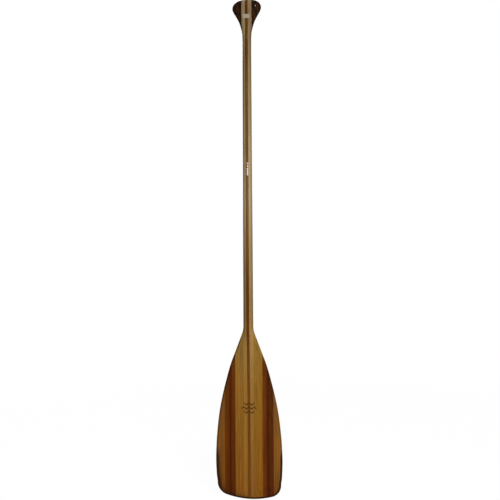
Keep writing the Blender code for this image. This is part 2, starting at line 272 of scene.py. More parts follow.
def blade_half_depth(x, z):
    """The blade's flat faces and rounded edge, with the shaft's ridge fading into them."""
    inside = np.maximum(edge_distance(x, z), 0.0)
    level = edge_half_depth(z)
    level = level + (face_half_depth(z) - level) * ease(inside / TAPER_BAND)
    rounding = round_over(inside / edge_radius(z))
    ridge = ridge_height(z) * root_of(1 - (x / ridge_half_width(z)) ** 2)
    fillet = RIDGE_FILLET * rounding * ease((THROAT_HEIGHT - z) / FILLET_RUN)
    return smooth_max(level * rounding, ridge, fillet)


def shaft_half_depth(x, z):
    """The shaft's oval section, which becomes the grip's flatter one."""
    low, high = GRIP_BLEND
    blend = ease((z - low) / (high - low))
    deepest = SHAFT_DEPTH_RATIO * outline(z) * (1 - blend) + grip_half_depth(z) * blend
    crown = (PADDLE_LENGTH - z) / (PADDLE_LENGTH - GRIP_SHOULDER)
    power = 2 + (GRIP_POWER - 2) * blend
    across = 1 - x / np.maximum(half_width(z), NOTHING)
    return deepest * round_over(crown) * round_over(across, power)


def half_depth(x, z):
    """Half the paddle's depth anywhere on it."""
    x = np.abs(x)
    return np.where(z < THROAT_HEIGHT, blade_half_depth(x, z), shaft_half_depth(x, z))


# Rows and columns of points along the pieces

def columns(inner, outer, count):
    """Places from one edge to the other, closer together near both edges."""
    t = (1 - np.cos(np.pi * np.arange(count + 1) / count)) / 2
    return inner + (outer - inner) * t


def crowded(start, end, count):
    """Places from start to end, closer together at the end, where the form rounds over."""
    return start + (end - start) * np.sin(np.pi / 2 * np.arange(count + 1) / count)


def lap(z):
    """How far the wood stays back from the blade's edge to leave room for the resin."""
    width = RESIN_WIDTH * ease((RESIN_TOP - z) / RESIN_TAPER)
    return np.maximum(width - RESIN_LAP, 0.0)


def height_of_width(width, low, high):
    """The height, between two others, at which the outline passes a given half width."""
    widens = half_width(high) > half_width(low)
    for _ in range(HALVINGS):
        middle = (low + high) / 2
        if (half_width(middle) < width) == widens:
            low = middle
        else:
            high = middle
    return (low + high) / 2


# Heights between which the outline passes each half width only once
BLADE_SIDE = (BLADE_WIDEST, THROAT_HEIGHT)
GRIP_SIDE = (SHAFT_NARROWEST, GRIP_WIDEST)


def middle_heights():
    """Row heights between the fitted ends, with one where the outline passes a stave's joint."""
    runs = [np.linspace(low, high, count, endpoint=False) for low, high, count in ROW_RUNS]
    crossings = [height_of_width(joints[1], *BLADE_SIDE) for joints in JOINTS.values()]
    crossings += [height_of_width(joint, *GRIP_SIDE) for joint in GRIP_JOINTS.values()]
    return np.unique(np.concatenate(runs + [crossings, [GRIP_WIDEST]]))


HEIGHTS = middle_heights()


def full_length_grid(inner, outer, grip_outer, count):
    """Rows from the tip to the grip's crown, squeezed near both ends to stop at the outline."""
    low = np.linspace(0.0, 1.0, FITTED_ROWS, endpoint=False)[:, None]
    high = crowded(0.0, 1.0, CROWN_ROWS)[1:, None]
    x_low = columns(inner, outer, count)
    x_high = columns(inner, grip_outer, count)
    start = tip_height(np.abs(x_low), lap(0.0))
    z_low = start + (FITTED_LOW - start) * low
    z_high = GRIP_WIDEST + (crown_height(np.abs(x_high)) - GRIP_WIDEST) * high
    joint = np.where(HEIGHTS < SHAFT_NARROWEST, outer, grip_outer)
    edge = np.minimum(joint, half_width(HEIGHTS))[:, None]
    x_middle = columns(np.maximum(inner, -edge), edge, count)
    z_middle = np.broadcast_to(HEIGHTS[:, None], x_middle.shape)
    x = np.concatenate([np.broadcast_to(x_low, z_low.shape), x_middle,
                        np.broadcast_to(x_high, z_high.shape)])
    return x, np.concatenate([z_low, z_middle, z_high])


def blade_strip_grid(inner, outer, count):
    """Rows from the resin edge up to the point where the outline cuts the strip off."""
    point = height_of_width(inner, *BLADE_SIDE)
    full = height_of_width(outer, *BLADE_SIDE)
    x_end = columns(inner, outer, count)
    start = tip_height(x_end, lap(0.0))
    low = np.linspace(0.0, 1.0, FITTED_ROWS, endpoint=False)[:, None]
    z_low = start + (FITTED_LOW - start) * low
    heights = np.concatenate([HEIGHTS[HEIGHTS < full], crowded(full, point, RUN_OUT_ROWS)])
    edge = np.minimum(outer, half_width(heights, lap(heights)))[:, None]
    x_middle = columns(inner, np.maximum(edge, inner), count)
    z_middle = np.broadcast_to(heights[:, None], x_middle.shape)
    x = np.concatenate([np.broadcast_to(x_end, z_low.shape), x_middle])
    return x, np.concatenate([z_low, z_middle])


def edge_strip_grid(inner, count):
    """Rows of the outermost strip, from its point at the round corner to its point above."""
    start = tip_height(inner, lap(0.0))
    point = height_of_width(inner, *BLADE_SIDE)
    low = start + FITTED_LOW - crowded(start, FITTED_LOW, RUN_OUT_ROWS)[::-1]
    middle = HEIGHTS[(HEIGHTS > FITTED_LOW) & (HEIGHTS < FLAT_TOP)]
    heights = np.concatenate([low, middle, crowded(FLAT_TOP, point, RUN_OUT_ROWS)])
    edge = np.maximum(half_width(heights, lap(heights)), inner)[:, None]
    x = columns(inner, edge, count)
    return x, np.broadcast_to(heights[:, None], x.shape)


def grip_block_grid(inner, count):
    """Rows from the point where the grip starts to flare up to its crown."""
    neck = height_of_width(inner, *GRIP_SIDE)
    first = HEIGHTS[HEIGHTS > neck + NECK_RUN][0]
    foot = neck + first - crowded(neck, first, NECK_ROWS)[::-1]
    middle = HEIGHTS[(HEIGHTS > first) & (HEIGHTS < GRIP_WIDEST)]
    crown = crowded(GRIP_WIDEST, crown_height(inner), BLOCK_CROWN_ROWS)
    heights = np.concatenate([foot, middle, crown])
    x = columns(inner, np.maximum(half_width(heights), inner)[:, None], count)
    return x, np.broadcast_to(heights[:, None], x.shape)


def resin_grid(count):
    """Rows across the resin, all the way round the blade's lower end from left to right."""
    z = np.linspace(RESIN_TOP, CORNER_Z, RESIN_SIDE_ROWS)
    length = np.hypot(1, outline_slope(z))
    width = RESIN_WIDTH * ease((RESIN_TOP - z) / RESIN_TAPER)
    side = [outline(z), z, -1 / length, outline_slope(z) / length, width]
    corner_end = math.acos(CORNER_X / (TIP_RADIUS - CORNER_RADIUS))
    angle = np.linspace(0.0, corner_end, RESIN_CORNER_ROWS)[1:]
    across, up = np.cos(angle), -np.sin(angle)
    whole = np.full(len(angle), RESIN_WIDTH)
    corner = [CORNER_X + CORNER_RADIUS * across, CORNER_Z + CORNER_RADIUS * up, -across, -up, whole]
    angle = np.linspace(math.pi / 2 - corner_end, 0.0, RESIN_TIP_ROWS)[1:]
    across, up = np.sin(angle), -np.cos(angle)
    whole = np.full(len(angle), RESIN_WIDTH)
    tip = [TIP_RADIUS * across, TIP_RADIUS * (1 + up), -across, -up, whole]
    x, z, nx, nz, width = (np.concatenate(parts)[:, None] for parts in zip(side, corner, tip))
    inward = columns(width, 0.0, count)
    right_x, right_z = x + nx * inward, z + nz * inward
    return (np.concatenate([-right_x[:-1], right_x[::-1]]),
            np.concatenate([right_z[:-1], right_z[::-1]]))


# Meshes

WELD_DISTANCE = 0.000003
SHORTEST_EDGE = 0.000002
SHARP_ANGLE = math.radians(40)
EDGE_MAP = "from_edge"


def slab(x, z, front, back):
    """The points and faces of a closed slab between two grids of depths."""
    last_row, last_column = x.shape[0] - 1, x.shape[1] - 1
    near = np.arange(x.size).reshape(x.shape)
    far = near + x.size
    z = z + TIP_Z
    points = np.concatenate([np.stack([x, front, z], -1).reshape(-1, 3),
                             np.stack([x, back, z], -1).reshape(-1, 3)])

    def quads(a, b, c, d):
        return np.stack([a.ravel(), b.ravel(), c.ravel(), d.ravel()], -1)

    faces = [
        quads(near[:-1, :-1], near[:-1, 1:], near[1:, 1:], near[1:, :-1]),
        quads(far[:-1, :-1], far[1:, :-1], far[1:, 1:], far[:-1, 1:]),
    ]
    for c in (0, last_column):
        faces.append(quads(near[:-1, c], near[1:, c], far[1:, c], far[:-1, c]))
    for r in (0, last_row):
        faces.append(quads(near[r, :-1], near[r, 1:], far[r, 1:], far[r, :-1]))
    return points, np.concatenate(faces)


def mesh_of(name, slabs):
    """One mesh from one or more slabs, welded where a slab thins out to nothing."""
    points = np.concatenate([p for p, _ in slabs])
    starts = np.cumsum([0] + [len(p) for p, _ in slabs[:-1]])
    faces = np.concatenate([f + start for (_, f), start in zip(slabs, starts)])
    mesh = bpy.data.meshes.new(name)
    mesh.from_pydata(points.tolist(), [], faces.tolist())
    work = bmesh.new()
    work.from_mesh(mesh)
    bmesh.ops.remove_doubles(work, verts=work.verts, dist=WELD_DISTANCE)
    bmesh.ops.dissolve_degenerate(work, edges=work.edges, dist=SHORTEST_EDGE)
    bmesh.ops.recalc_face_normals(work, faces=work.faces)
    work.to_mesh(mesh)
    work.free()
    mesh.shade_smooth()
    mesh.set_sharp_from_angle(angle=SHARP_ANGLE)
    return mesh


def map_edge(mesh):
    """Note on every point how far in from the paddle's outline it is, for painted shade and stains.
    """
    points = np.empty(3 * len(mesh.vertices))
    mesh.vertices.foreach_get("co", points)
    x, _, z = points.reshape(-1, 3).T
    x, z = np.abs(x), z - TIP_Z
    distance = np.where(z < THROAT_HEIGHT, edge_distance(x, z), half_width(z) - x)
    mesh.attributes.new(EDGE_MAP, "FLOAT", "POINT").data.foreach_set("value", distance)


def carved(name, side, grid, proud=1.0):
    """A piece of the carved form between its own glue joints."""
    x, z = grid
    depth = half_depth(x, z) * proud
    mesh = mesh_of(name, [slab(side * x, z, -depth, depth)])
    map_edge(mesh)
    return mesh


def show(name, mesh, material, node=None):
    """Put a piece in the scene, in place of its CAD node if it stands for one."""
    mesh.materials.append(material)
    piece = bpy.data.objects.new(name, mesh)
    bpy.context.scene.collection.objects.link(piece)
    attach(piece, "root")
    if node:
        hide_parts(node)


# Materials

WHITE = (1.0, 1.0, 1.0)


class Graph:
    """A node tree, a new material's unless one is given, with short calls for its nodes."""

    def __init__(self, name=None, tree=None):
        if tree is None:
            self.material = bpy.data.materials.new(name)
            self.material.use_nodes = True
            tree = self.material.node_tree
            self.shader = tree.nodes["Principled BSDF"]
        self.tree = tree

    def put(self, socket, value):
        """Link a socket, or set it, to a value. A colour of three numbers is made opaque."""
        if isinstance(value, bpy.types.NodeSocket):
            self.tree.links.new(value, socket)
        elif isinstance(value, tuple) and len(value) == 3 and len(socket.default_value) == 4:
            socket.default_value = (*value, 1.0)
        else:
            socket.default_value = value

    def node(self, kind, inputs, **settings):
        made = self.tree.nodes.new(kind)
        for key, value in settings.items():
            setattr(made, key, value)
        for key, value in inputs.items():
            self.put(made.inputs[key], value)
        return made

    def place(self):
        """Where a point is from its object's origin, which for the paddle is the frame's."""
        return self.node("ShaderNodeTexCoord", {}).outputs["Object"]

    def from_edge(self):
        """How far in from the paddle's outline a point is, as map_edge noted it."""
        return self.node("ShaderNodeAttribute", {}, attribute_name=EDGE_MAP).outputs["Fac"]

    def math(self, operation, a, b=0.0, c=0.0):
        return self.node("ShaderNodeMath", {0: a, 1: b, 2: c}, operation=operation).outputs[0]

    def vector(self, operation, a, b=(0.0, 0.0, 0.0)):
        made = self.node("ShaderNodeVectorMath", {0: a, 1: b}, operation=operation)
        return made.outputs["Value" if operation == "LENGTH" else "Vector"]

    def split(self, vector):
        return self.node("ShaderNodeSeparateXYZ", {0: vector}).outputs

    def noise(self, vector, scale, detail=2.0, roughness=0.5):
        inputs = {"Vector": vector, "Scale": scale, "Detail": detail, "Roughness": roughness}
        return self.node("ShaderNodeTexNoise", inputs).outputs["Fac"]

    def grain(self, vector, along, *pattern):
        """Noise that changes more slowly along the height than across it."""
        return self.noise(self.vector("MULTIPLY", vector, (1.0, 1.0, along)), *pattern)

    def remap(self, value, from_low, from_high, to_low=0.0, to_high=1.0):
        inputs = {0: value, 1: from_low, 2: from_high, 3: to_low, 4: to_high}
        made = self.node("ShaderNodeMapRange", inputs, interpolation_type="SMOOTHSTEP")
        return made.outputs[0]

    def ramp(self, value, stops):
        """A colour, or a grey from a single number, that follows a value through stops."""
        made = self.node("ShaderNodeValToRGB", {0: value})
        elements = made.color_ramp.elements
        for i, (position, colour) in enumerate(stops):
            colour = colour if isinstance(colour, tuple) else (colour,) * 3
            element = elements[i] if i < 2 else elements.new(position)
            element.position = position
            element.color = (*colour, 1.0)
        return made.outputs["Color"]

    def blend(self, factor, a, b, how="MIX"):
        made = self.node("ShaderNodeMix", {}, data_type="RGBA", blend_type=how)
        for socket, value in zip((made.inputs[0], made.inputs[6], made.inputs[7]), (factor, a, b)):
            self.put(socket, value)
        return made.outputs[2]

    def shade(self, colour, by):
        """A colour multiplied by another, or by a number."""
        return self.blend(1.0, colour, by, "MULTIPLY")

    def bump(self, height, distance, strength=1.0, under=None):
        inputs = {"Height": height, "Distance": distance, "Strength": strength}
        if under is not None:
            inputs["Normal"] = under
        return self.node("ShaderNodeBump", inputs).outputs["Normal"]

    def finish(self, colour, roughness, normal, **constants):
        self.put(self.shader.inputs["Base Color"], colour)
        self.put(self.shader.inputs["Roughness"], roughness)
        self.put(self.shader.inputs["Normal"], normal)
        for key, value in constants.items():
            self.put(self.shader.inputs[key.replace("_", " ")], value)
        return self.material


# The varnish, which is smoother and thicker on the grip's blocks
VARNISH = {"Specular_IOR_Level": 0.22, "Coat_Weight": 0.08, "Coat_Roughness": 0.10}
GRIP_VARNISH = {"Specular_IOR_Level": 0.09, "Coat_Weight": 0.35, "Coat_Roughness": 0.05}

# The woods: how far their bands and rings stand out, the ring spacing, the pith that the rings
# turn round, how dark their pores are, the scale and strength of their figure, and their tones
# as (height, colour) up the paddle. The tones are partly the woods' own colour and partly painted
# light: the shaft's strips are brighter near 0.9 m up and dimmer above, the staves brighter at
# 0.46 m, where the ridge's sides face the light, and the light strips darker towards the tip
STAVE = dict(bands=0.16, rings=0.22, spacing=0.0016, pith=(0.050, 0.120), pores=0.12,
             figure=(34.0, 0.04))
RED = dict(bands=0.30, rings=0.40, spacing=0.0013, pith=(0.070, 0.160), pores=0.20,
           figure=(34.0, 0.07))
WOODS = {
    # Painted light in these tones: brighter near 0.9 m up and dimmer above
    "core": dict(
        bands=0.22, rings=0.35, spacing=0.0011, pith=(0.021, 0.090), pores=0.45,
        figure=(34.0, 0.06),
        tones=[(0.0, (0.272, 0.092, 0.008)), (0.24, (0.188, 0.073, 0.006)),
               (0.40, (0.254, 0.078, 0.008)), (0.55, (0.160, 0.050, 0.005)),
               (0.64, (0.130, 0.041, 0.004)), (0.75, (0.151, 0.072, 0.011)),
               (0.88, (0.186, 0.106, 0.028)), (0.95, (0.208, 0.130, 0.041)),
               (1.07, (0.124, 0.065, 0.017)), (1.16, (0.168, 0.076, 0.014)),
               (1.25, (0.150, 0.073, 0.012)), (1.32, (0.115, 0.050, 0.007)),
               (1.37, (0.078, 0.031, 0.003)), (1.43, (0.098, 0.046, 0.008)),
               (1.49, (0.069, 0.030, 0.007)), (1.51, (0.086, 0.035, 0.009))]),
    # Painted light in these tones: brighter at 0.46 m and near 0.91 m, dimmer above
    "right_stave": dict(
        STAVE,
        tones=[(0.0, (0.366, 0.153, 0.027)), (0.16, (0.348, 0.166, 0.034)),
               (0.34, (0.366, 0.212, 0.056)), (0.41, (0.398, 0.246, 0.069)),
               (0.46, (0.503, 0.276, 0.095)), (0.55, (0.384, 0.232, 0.075)),
               (0.74, (0.413, 0.262, 0.110)), (0.91, (0.468, 0.342, 0.186)),
               (1.07, (0.432, 0.325, 0.169)), (1.16, (0.346, 0.249, 0.130)),
               (1.34, (0.270, 0.175, 0.084)), (1.45, (0.200, 0.127, 0.060)),
               (1.51, (0.212, 0.139, 0.064))]),
    # Painted light in these tones: brighter at 0.46 m and near 0.91 m, dimmer above
    "left_stave": dict(
        STAVE,
        tones=[(0.0, (0.405, 0.168, 0.023)), (0.16, (0.408, 0.188, 0.027)),
               (0.34, (0.402, 0.214, 0.040)), (0.41, (0.356, 0.231, 0.061)),
               (0.46, (0.430, 0.258, 0.065)), (0.55, (0.288, 0.176, 0.072)),
               (0.74, (0.360, 0.225, 0.103)), (0.91, (0.448, 0.342, 0.188)),
               (1.07, (0.380, 0.266, 0.150)), (1.16, (0.375, 0.256, 0.127)),
               (1.34, (0.209, 0.138, 0.066)), (1.45, (0.248, 0.182, 0.080)),
               (1.51, (0.206, 0.144, 0.089))]),
    # Painted light in these tones: darker towards the tip
    "light": dict(
        bands=0.20, rings=0.26, spacing=0.0019, pith=(0.015, 0.140), pores=0.10,
        figure=(34.0, 0.05),
        tones=[(0.0, (0.335, 0.130, 0.014)), (0.25, (0.335, 0.155, 0.017)),
               (0.50, (0.370, 0.205, 0.037))]),
    "right_red": dict(
        RED,
        tones=[(0.0, (0.162, 0.037, 0.004)), (0.15, (0.188, 0.042, 0.005)),
               (0.24, (0.180, 0.042, 0.005)), (0.31, (0.148, 0.039, 0.005)),
               (0.37, (0.128, 0.037, 0.005))]),
    "left_red": dict(
        RED,
        tones=[(0.0, (0.168, 0.039, 0.004)), (0.25, (0.177, 0.041, 0.004)),
               (0.45, (0.162, 0.048, 0.005))]),
    "brown": dict(
        bands=0.30, rings=0.35, spacing=0.0015, pith=(0.095, 0.130), pores=0.20,
        figure=(34.0, 0.07),
        tones=[(0.0, (0.215, 0.072, 0.010)), (0.12, (0.275, 0.118, 0.018)),
               (0.34, (0.250, 0.108, 0.022))]),
    "walnut": dict(
        bands=0.70, rings=0.55, spacing=0.0024, pith=(0.010, 0.050), pores=0.65,
        figure=(110.0, 0.50),
        tones=[(1.42, (0.030, 0.011, 0.003)), (1.47, (0.022, 0.008, 0.003)),
               (1.52, (0.022, 0.008, 0.003))]),
}

# The patterns of every wood: (how fast it changes along the grain against across it, scale,
# detail, roughness). Levels are where a pattern is at its least and at its most
WANDER = (0.10, 42.0, 3.0, 0.55)
BANDS = (0.018, 150.0, 2.0, 0.55)
BAND_LEVELS = (0.34, 0.66)
FIGURE_ALONG = 0.20
FIGURE_LEVELS = (0.30, 0.70)
FIBRES = (0.012, 1500.0, 2.0, 0.6)
FIBRE_LEVELS = (0.25, 0.75)
PORES = (0.05, 2600.0, 1.0, 0.5)
PORE_LEVELS = (0.62, 0.70)

# What they do: how far rings stray, how late the wood is through a ring's width, what makes up
# for the rings' darkening, the casts of the bands, and the fibres' shades
WANDER_DISTANCE = 0.0065
LATE_WOOD = [(0.0, 0.25), (0.45, 0.30), (0.88, 1.0), (1.0, 0.30)]
RING_LIFT = 0.45
WARM = (0.55, -0.10, -0.60)
COOL = (-0.75, -0.55, -0.10)
FIBRE_SHADES = (0.86, 1.14)

# The varnish's surface: its waves, how far it sinks into the late wood and the pores, (distance,
# strength) of both, and its roughness along the fibres
WAVES = (0.30, 70.0, 1.0, 0.4)
WAVE_BUMP = (0.0008, 0.35)
LATE_SINKING = -0.4
PORE_SINKING = -1.0
GRAIN_BUMP = (0.00006, 0.6)
ROUGHNESS_LEVELS = (0.20, 0.80)
ROUGHNESS = (0.20, 0.30)

# A glue line: full within its first distance from the joint and gone at its second
GLUE_LINE = (0.000066, 0.00022)
GLUE_STRENGTH = 0.75
GLUE_COLOUR = (0.045, 0.018, 0.005)

# How far apart in the patterns two pieces are cut whose seeds are next to each other
SEED_STEP = (1.37, 0.71, 2.23)


def seed_place(seed):
    """Where in the patterns a piece is cut from, so that no two pieces are alike."""
    return tuple(seed * step for step in SEED_STEP)


# Painted shade along the blade's edge, where it rounds away from the light, darker and wider
# on the left; and the stain inside the resin, with painted shade added on the left: how much,
# and how far in from the edge. Both fade out upwards between two heights. The stain is whole
# over a share of its reach, and weaker at its foot
PAINTED_EDGE_SHADE = {"left": (0.42, 0.0100), "right": (0.75, 0.0050)}
PAINTED_EDGE_SHADE_TOP = (0.455, 0.500)
STAINS_AND_SHADE = {"left": ((0.27, 0.25, 0.38), 0.0190), "right": ((0.92, 0.40, 0.45), 0.0100)}
STAIN_AND_SHADE_FULL = 0.3
STAIN_AND_SHADE_TOP = (0.122, 0.156)
STAIN_AND_SHADE_FOOT = (0.010, 0.045)
STAIN_AND_SHADE_AT_FOOT = 0.4

# Painted shade on the shaft's sides, where the round turns away from the light: its cast, and
# how far in it reaches
PAINTED_SIDE_SHADE = {
    "left_stave": ((0.95, 0.97, 0.92), 0.0030),
    "right_stave": ((0.74, 0.84, 0.73), 0.0046),
}
PAINTED_SIDE_SHADE_FROM = (0.495, 0.520)


def wood(name, kind, seed, joints, shade=None, tint=WHITE, side=None):
    """Varnished wood with its grain along the paddle and a thin glue line at each joint.

    joints are places across the paddle, shade is a list of (distance out, brightness or cast),
    tint sets this piece apart from others of its kind, and side says whose painted edge shade
    and stains it has.
    """
    look = WOODS[kind]
    g = Graph(name)
    place = g.place()
    moved = g.vector("ADD", place, seed_place(seed))
    x, _, z = g.split(place)
    height = g.math("SUBTRACT", z, TIP_Z)

    # Growth rings: circles round a distant pith, which wander slowly along the grain
    wander = g.math("MULTIPLY", g.grain(moved, *WANDER), WANDER_DISTANCE)
    flat = g.vector("MULTIPLY", g.vector("SUBTRACT", place, (*look["pith"], 0.0)), (1.0, 1.0, 0.0))
    radius = g.math("ADD", g.vector("LENGTH", flat), wander)
    late = g.ramp(g.math("FRACT", g.math("DIVIDE", radius, look["spacing"])), LATE_WOOD)

    # Broad bands, figure, fibres and pores, all drawn out along the grain
    scale, strength = look["figure"]
    broad = g.remap(g.grain(moved, *BANDS), *BAND_LEVELS)
    figure = g.grain(moved, FIGURE_ALONG, scale)
    fibre = g.grain(moved, *FIBRES)
    pores = g.remap(g.grain(moved, *PORES), *PORE_LEVELS)

    tones = [(h / PADDLE_LENGTH, colour) for h, colour in look["tones"]]
    colour = g.shade(g.ramp(g.math("DIVIDE", height, PADDLE_LENGTH), tones), tint)
    warm, cool = (tuple(1.0 + look["bands"] * part for part in cast) for cast in (WARM, COOL))
    colour = g.shade(colour, g.blend(broad, cool, warm))
    colour = g.shade(colour, g.remap(figure, *FIGURE_LEVELS, 1.0 - strength, 1.0 + strength))
    lift = 1.0 + RING_LIFT * look["rings"]
    colour = g.shade(colour, g.math("MULTIPLY_ADD", late, -look["rings"], lift))
    colour = g.shade(colour, g.remap(fibre, *FIBRE_LEVELS, *FIBRE_SHADES))
    colour = g.shade(colour, g.math("MULTIPLY_ADD", pores, -look["pores"], 1.0))
    if shade:
        widest = CAD_HIGH.x
        stops = [(distance / widest, value) for distance, value in shade]
        from_middle = g.math("ABSOLUTE", x)
        colour = g.shade(colour, g.ramp(g.math("DIVIDE", from_middle, widest), stops))
    # Painted shade towards the blade's edge, and the stain inside the resin, partly painted shade
    if side:
        colour = edge_shade_and_stain(g, colour, height, side)
    # Painted shade towards the shaft's sides
    if kind in PAINTED_SIDE_SHADE:
        colour = with_side_shade(g, colour, height, *PAINTED_SIDE_SHADE[kind])
    for joint in joints:
        off = g.math("ABSOLUTE", g.math("SUBTRACT", x, joint))
        line = g.remap(off, *GLUE_LINE, GLUE_STRENGTH, 0.0)
        colour = g.blend(line, colour, GLUE_COLOUR)

    # Satin varnish: a little wavy, and sunk slightly into the pores and late wood
    roughness = g.remap(fibre, *ROUGHNESS_LEVELS, *ROUGHNESS)
    sunk = g.math("MULTIPLY", pores, PORE_SINKING)
    normal = g.bump(g.grain(moved, *WAVES), *WAVE_BUMP)
    normal = g.bump(g.math("MULTIPLY_ADD", late, LATE_SINKING, sunk), *GRAIN_BUMP, normal)
    return g.finish(colour, roughness, normal, **(GRIP_VARNISH if kind == "walnut" else VARNISH))


def edge_shade_and_stain(g, colour, height, side):
    """A colour with painted edge shade, and a stain inside the resin that is partly painted shade.
    """
    from_edge = g.from_edge()
    # Painted shade: darker towards the blade's edge, more so on the left
    least, reach = PAINTED_EDGE_SHADE[side]
    rim = g.remap(from_edge, 0.0, reach, least, 1.0)
    colour = g.shade(colour, g.math("MAXIMUM", rim, g.remap(height, *PAINTED_EDGE_SHADE_TOP)))
    # The stain inside the resin, with painted shade added to it on the left
    stain_and_shade, reach = STAINS_AND_SHADE[side]
    near = g.remap(from_edge, STAIN_AND_SHADE_FULL * reach, reach, 1.0, 0.0)
    below = g.remap(height, *STAIN_AND_SHADE_TOP, 1.0, 0.0)
    foot = g.remap(height, *STAIN_AND_SHADE_FOOT, STAIN_AND_SHADE_AT_FOOT, 1.0)
    amount = g.math("MULTIPLY", g.math("MULTIPLY", near, below), foot)
    return g.blend(amount, colour, g.shade(colour, stain_and_shade))


def with_side_shade(g, colour, height, cast, reach):
    """A colour with painted shade, duller towards the side of the shaft."""
    near = g.remap(g.from_edge(), 0.0, reach, 1.0, 0.0)
    amount = g.math("MULTIPLY", near, g.remap(height, *PAINTED_SIDE_SHADE_FROM))
    return g.blend(amount, colour, g.shade(colour, cast))


def resin(name):
    """Cast resin, nearly black, with a brown cast and fine scuffs."""
    g = Graph(name)
    place = g.place()
    cloud = g.noise(place, 60.0, 3.0, 0.6)
    colour = g.ramp(cloud, [(0.30, (0.040, 0.013, 0.004)), (0.70, (0.078, 0.025, 0.006))])
    scuffs = g.grain(place, 0.35, 900.0, 2.0, 0.6)
    roughness = g.remap(scuffs, 0.35, 0.75, 0.24, 0.46)
    normal = g.bump(cloud, 0.0006, 0.25)
    normal = g.bump(scuffs, 0.00003, 0.5, normal)
    return g.finish(colour, roughness, normal, Specular_IOR_Level=0.3)


# The label's border line: how far in it runs, and how far it is full and gone from there
BORDER_INSET = 0.0011
BORDER_LINE = (0.00012, 0.00026)
BORDER_STRENGTH = 0.45


def sticker(name):
    """The grip's blank label: pale film, faintly mottled, with a thin border line."""
    g = Graph(name)
    place = g.place()
    low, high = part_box("grip_label")
    middle, half = (low + high) / 2, (high - low) / 2
    x, _, z = g.split(place)
    across = g.math("ABSOLUTE", g.math("SUBTRACT", x, middle.x))
    up = g.math("ABSOLUTE", g.math("SUBTRACT", z, middle.z))
    inset = g.math("MINIMUM", g.math("SUBTRACT", half.x, across), g.math("SUBTRACT", half.z, up))
    off = g.math("ABSOLUTE", g.math("SUBTRACT", inset, BORDER_INSET))
    border = g.remap(off, *BORDER_LINE, BORDER_STRENGTH, 0.0)
    mottle = g.noise(place, 420.0, 3.0, 0.6)
    colour = g.ramp(mottle, [(0.30, (0.270, 0.225, 0.140)), (0.70, (0.365, 0.300, 0.240))])
    colour = g.blend(border, colour, (0.130, 0.085, 0.050))
    normal = g.bump(mottle, 0.00003, 0.6)
    return g.finish(colour, 0.38, normal, Specular_IOR_Level=0.4)


def marking(name):
    """The pale marks of the shaft's decal, printed a little unevenly."""
    g = Graph(name)
    mottle = g.noise(g.place(), 900.0, 2.0, 0.6)
    colour = g.ramp(mottle, [(0.30, (0.660, 0.520, 0.560)), (0.65, (0.780, 0.660, 0.690))])
    normal = g.bump(mottle, 0.00002, 0.5)
    return g.finish(colour, 0.40, normal, Specular_IOR_Level=0.4)


def burnt(name):
    """The blade's mark, burnt into the wood: brown, uneven and a little matt."""
    g = Graph(name)
    uneven = g.grain(g.place(), 0.3, 380.0, 3.0, 0.65)
    colour = g.ramp(uneven, [(0.30, (0.090, 0.032, 0.005)), (0.70, (0.155, 0.061, 0.010))])
    normal = g.bump(uneven, 0.00005, 0.6)
    return g.finish(colour, 0.5, normal, Specular_IOR_Level=0.08)


# The small pieces that lie on the carved surface

FILM_PROUD = 0.00014
FILM_SUNK = 0.00006
PATCH_COLUMNS = 24
BAR_COLUMNS = 32
STROKE_ROWS = 8
STROKE_COLUMNS = 72
LABEL_CORNER = 0.0016

# The decal's marks: how far they stay inside its CAD outline at the sides and the top and at the
# foot, how far below the top the ovals' middles are with their height against their width, and
# how far below it the bar starts
DECAL_MARGIN = 0.0004
DECAL_FOOT = 0.0010
DECAL_OVALS = [(0.0036, 1.20), (0.0119, 1.45)]
DECAL_BAR_DROP = 0.0171

# The blade's mark: (height above its middle, length) of each stroke, and the strokes' form
MARK_X = 0.0015
MARK_HEIGHT = 0.2785
MARK_STROKES = [(0.0125, 0.034), (0.0, 0.050), (-0.0125, 0.034)]
STROKE_WIDTH = 0.0046
STROKE_RISE = 0.0026
STROKE_HALF_WAVE = 0.0165
STROKE_TAPER_POWER = 6


def film(x, z):
    """A thin slab that follows the front of the paddle."""
    depth = half_depth(x, z)
    return slab(x, z, -depth - FILM_PROUD, -depth + FILM_SUNK)


def rounded_patch(middle_x, middle_z, half_x, half_z, corner, count=PATCH_COLUMNS):
    """A film with rounded corners, or with round ends where the corner is half its width."""
    across = columns(-half_x, half_x, count)
    past = np.maximum(np.abs(across) - (half_x - corner), 0.0)
    reach = half_z - corner + root_of(corner ** 2 - past ** 2)
    up = columns(-1.0, 1.0, count)[:, None]
    return film(np.broadcast_to(middle_x + across, (count + 1, count + 1)), middle_z + up * reach)


def wavy_stroke(middle_z, length):
    """A film along a wavy line, drawn out to a point at each end."""
    t = np.linspace(-1.0, 1.0, STROKE_COLUMNS + 1)
    line = STROKE_RISE * np.cos(math.pi * length / STROKE_HALF_WAVE * t)
    half = STROKE_WIDTH / 2 * root_of(1 - t ** STROKE_TAPER_POWER)
    across = columns(-1.0, 1.0, STROKE_ROWS)[:, None]
    x = np.broadcast_to(MARK_X + t * length / 2, (STROKE_ROWS + 1, STROKE_COLUMNS + 1))
    return film(x, middle_z + line + across * half)


def grip_label():
    """A blank patch with rounded corners, as large as the CAD label."""
    low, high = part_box("grip_label")
    middle, half = (low + high) / 2, (high - low) / 2
    patch = rounded_patch(middle.x, middle.z - TIP_Z, half.x, half.z, LABEL_CORNER)
    return mesh_of("grip_label_sticker", [patch])


